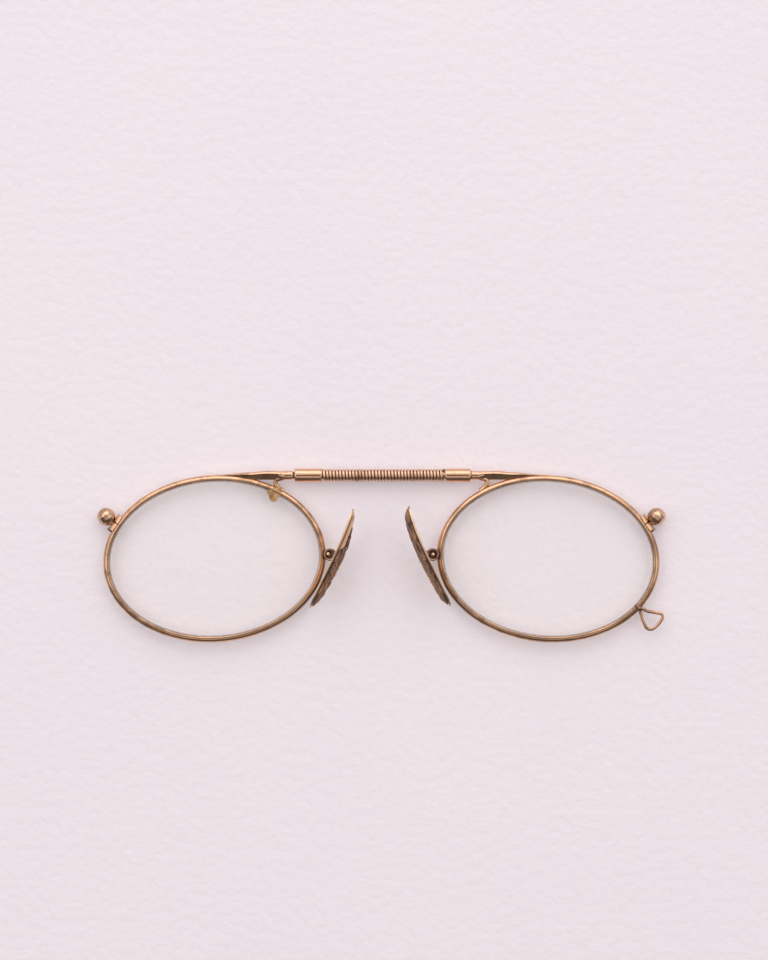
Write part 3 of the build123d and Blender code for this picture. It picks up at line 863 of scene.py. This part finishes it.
def build_lens_half(word):
    """Every refined piece that both lenses have, on one side."""
    side, body = SIDES[word], word + "_frame"

    def add(piece, node, material=None):
        return show(piece, body, f"{word}_{node}", material)

    add(rim(word + "_eyewire", side, 2.0 + 5 * side), "rim", GOLD)
    add(lens(word + "_glass", side), "lens")
    add(closing_block(word + "_brow_block", side, -1), "upper_joint_block", GOLD)
    add(closing_block(word + "_lower_block", side, 1), "lower_joint_block", GOLD)
    add(finger_knob(word + "_ball_knob", side, 3.0 * side), "finger_knob", KNOB_GOLD)
    add(pad_post(word + "_guard_post", side), "pad_post", PAD_GOLD)
    add(pad_pin(word + "_guard_pin", side), "pad_pin", PAD_GOLD)
    arm = bar_arm(word + "_arm", side, ARM_START_X[word])
    add(arm, "bar_arm", BAR_GOLD)
    add(arm_brace(word + "_brace", side), "arm_brace", GOLD)
    guard = nose_guard(word + "_guard", side)
    show(guard, word + "_pad", word + "_pad_plate")
    show(pad_facing(word + "_cork_facing", side), word + "_pad", word + "_pad_cork", CORK)


for word in SIDES:
    build_lens_half(word)
show(ferrule("left_tube", "left_ferrule", 1.0), "right_frame", "left_ferrule", BAR_GOLD)
show(ferrule("right_tube", "right_ferrule", 8.0), "left_frame", "right_ferrule", BAR_GOLD)
spring = show(coil_spring("spring_coil"), "left_frame", "coil_spring", WIRE_GOLD)
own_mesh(spring)
show(cord_eye("cord_eye"), "right_frame", "cord_loop")
show(lens_packing("packing_chip"), "left_frame", "left_lens_shim", PACKING)

for word in SIDES:
    for node, finish in ((word + "_slide_rod", WIRE_GOLD), (word + "_joint_screw", DULL_BRASS)):
        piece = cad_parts[node]
        piece.data.materials.clear()
        piece.data.materials.append(finish)


# --- Floor, light and camera --------------------------------------------------------------
def floor():
    """Paper that the eyeglasses lie on."""
    half = 1.6
    mesh = bpy.data.meshes.new("paper_floor")
    outline = [(-half, -half, 0), (half, -half, 0), (half, half, 0), (-half, half, 0)]
    mesh.from_pydata(outline, [], [(0, 1, 2, 3)])
    mesh.materials.append(paper("paper"))
    sheet = bpy.data.objects.new("paper_floor", mesh)
    bpy.context.scene.collection.objects.link(sheet)


def area_light(name, place, size, power, colour):
    """Soft box aimed at the eyeglasses; place and size are in metres."""
    data = bpy.data.lights.new(name, "AREA")
    data.shape = "RECTANGLE"
    data.size, data.size_y = size
    data.energy = power
    data.color = colour
    lamp = bpy.data.objects.new(name, data)
    lamp.location = place
    lamp.rotation_euler = Vector(place).to_track_quat("Z", "Y").to_euler()
    bpy.context.scene.collection.objects.link(lamp)


def studio():
    """Soft boxes on all sides, strongest beyond the brow, in a room that is darker in front."""
    area_light("key_left", (-0.95, 0.10, 1.00), (1.1, 0.9), 2.6, (1.0, 0.97, 0.98))
    area_light("key_right", (1.00, 0.12, 0.98), (1.1, 0.9), 2.0, (1.0, 0.97, 0.98))
    area_light("fill_front", (0.0, -0.60, 1.10), (1.4, 0.5), 0.8, (1.0, 0.97, 0.98))
    area_light("top_box", (0.0, 0.62, 0.41), (1.03, 0.46), 1.75, (1.0, 0.97, 0.985))
    world = bpy.data.worlds.new("studio_room")
    world.use_nodes = True
    tree = world.node_tree
    view = tree.nodes.new("ShaderNodeTexCoord").outputs["Generated"]
    split = tree.nodes.new("ShaderNodeSeparateXYZ")
    tree.links.new(view, split.inputs[0])

    def graded(axis, low, high, dim, bright):
        node = tree.nodes.new("ShaderNodeMapRange")
        tree.links.new(split.outputs[axis], node.inputs["Value"])
        for socket, value in zip(("From Min", "From Max", "To Min", "To Max"), (low, high, dim, bright)):
            node.inputs[socket].default_value = value
        return node.outputs["Result"]

    def combined(kind, a, b):
        node = tree.nodes.new("ShaderNodeMath")
        node.operation = kind
        tree.links.new(a, node.inputs[0])
        tree.links.new(b, node.inputs[1])
        return node.outputs[0]

    room = combined("ADD", graded(1, -0.35, 0.55, 0.12, 0.82), graded(2, 0.74, 0.88, 0.0, 0.28))
    strength = combined("MULTIPLY", room, graded(2, 0.960, 0.988, 1.0, 0.25))
    back = tree.nodes["Background"]
    back.inputs["Color"].default_value = (0.98, 0.94, 0.97, 1.0)
    tree.links.new(strength, back.inputs["Strength"])
    bpy.context.scene.world = world


def camera():
    """Straight above the bridge, framing the eyeglasses as they are photographed."""
    data = bpy.data.cameras.new("camera")
    data.lens, data.sensor_width = 100.0, 36.0
    data.sensor_fit = "VERTICAL"
    data.sensor_height = 36.0
    frame_height = 174.34
    aim_x, aim_y = 0.47, BAR_Y - 0.84
    height = frame_height * data.lens / data.sensor_height
    eye = bpy.data.objects.new("camera", data)
    eye.location = (aim_x * MM, aim_y * MM, (MID_Z + height) * MM)
    bpy.context.scene.collection.objects.link(eye)
    bpy.context.scene.camera = eye


floor()
studio()
camera()
bpy.context.scene.view_settings.view_transform = "Standard"
